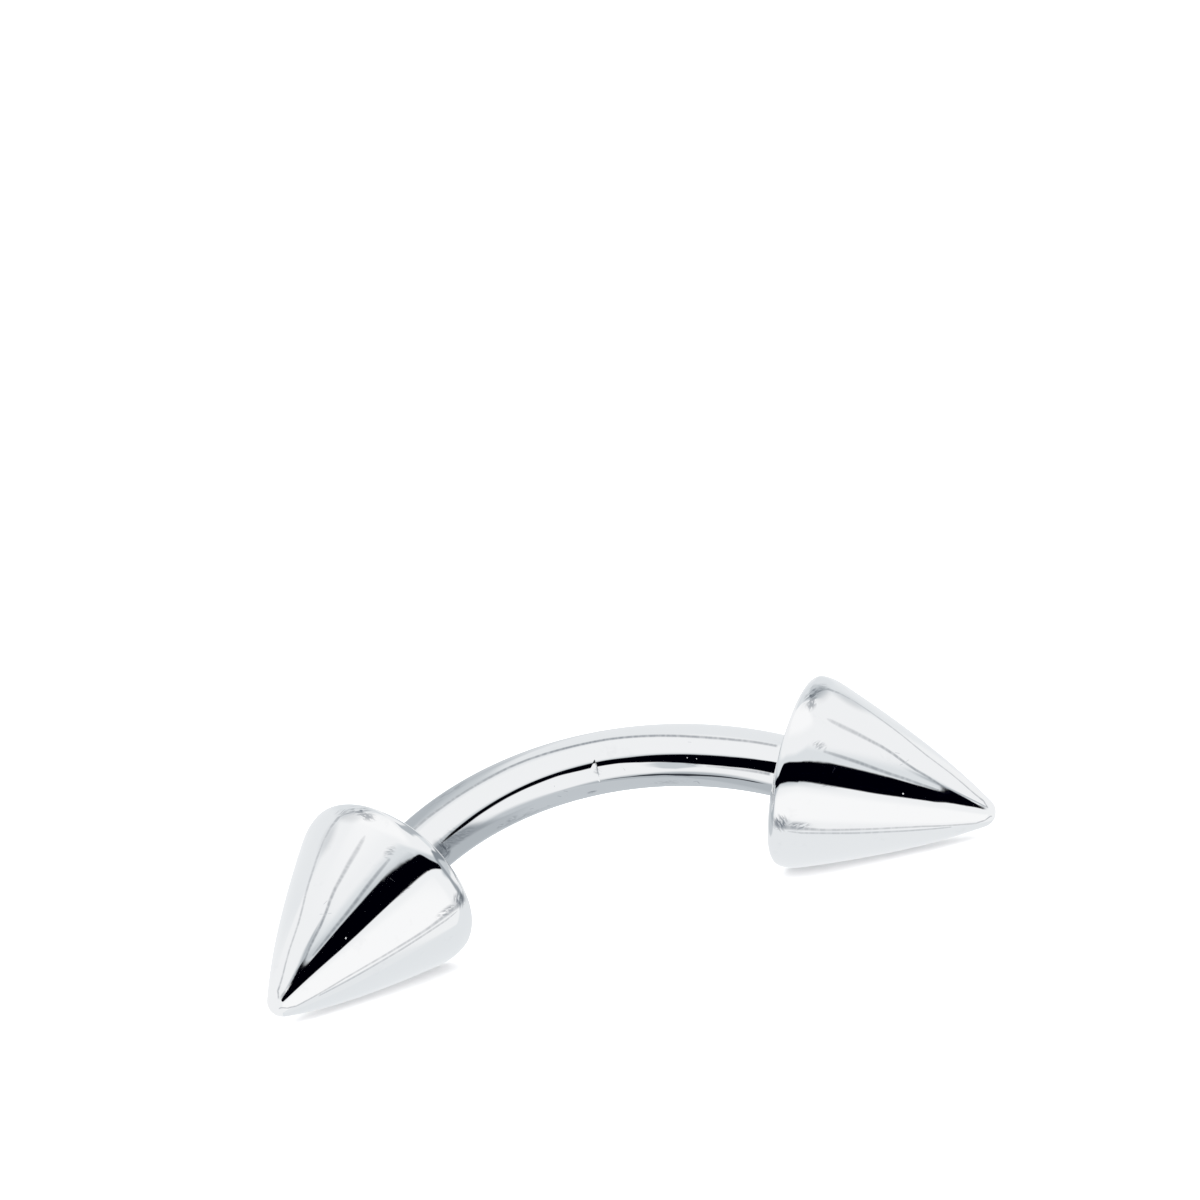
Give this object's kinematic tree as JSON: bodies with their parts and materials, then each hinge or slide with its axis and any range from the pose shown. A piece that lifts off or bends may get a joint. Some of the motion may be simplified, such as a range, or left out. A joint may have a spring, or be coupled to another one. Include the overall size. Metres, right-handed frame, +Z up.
{
  "type": "curved eyebrow barbell with two cones",
  "caption": "Polished steel eyebrow barbell: a short curved bar with a screw-on cone at each end, lying on its cones.",
  "frame": {"origin": "on the surface that the jewel lies on, under the middle of its bounding box", "axes": "+X from the left cone to the right cone, +Z up from the surface, the cones' tips point towards -Y and the bar's crown towards +Y and up"},
  "size_m": [0.0146, 0.0038, 0.0035],
  "materials": {
    "bar_steel": "mirror-polished surgical steel",
    "cone_steel": "mirror-polished surgical steel"
  },
  "bodies": {
    "bar": {"curved_bar": "bar_steel"},
    "left_end": {"cone_left": "cone_steel"},
    "right_end": {"cone_right": "cone_steel"}
  },
  "joints": [
    {"name": "left_cone_unscrew", "type": "slide", "parent": "bar", "child": "left_end", "axis": [-0.7986, -0.471, -0.3746], "range_m": [0, 0.0018]},
    {"name": "right_cone_unscrew", "type": "slide", "parent": "bar", "child": "right_end", "axis": [0.7986, -0.471, -0.3746], "range_m": [0, 0.0018]}
  ]
}
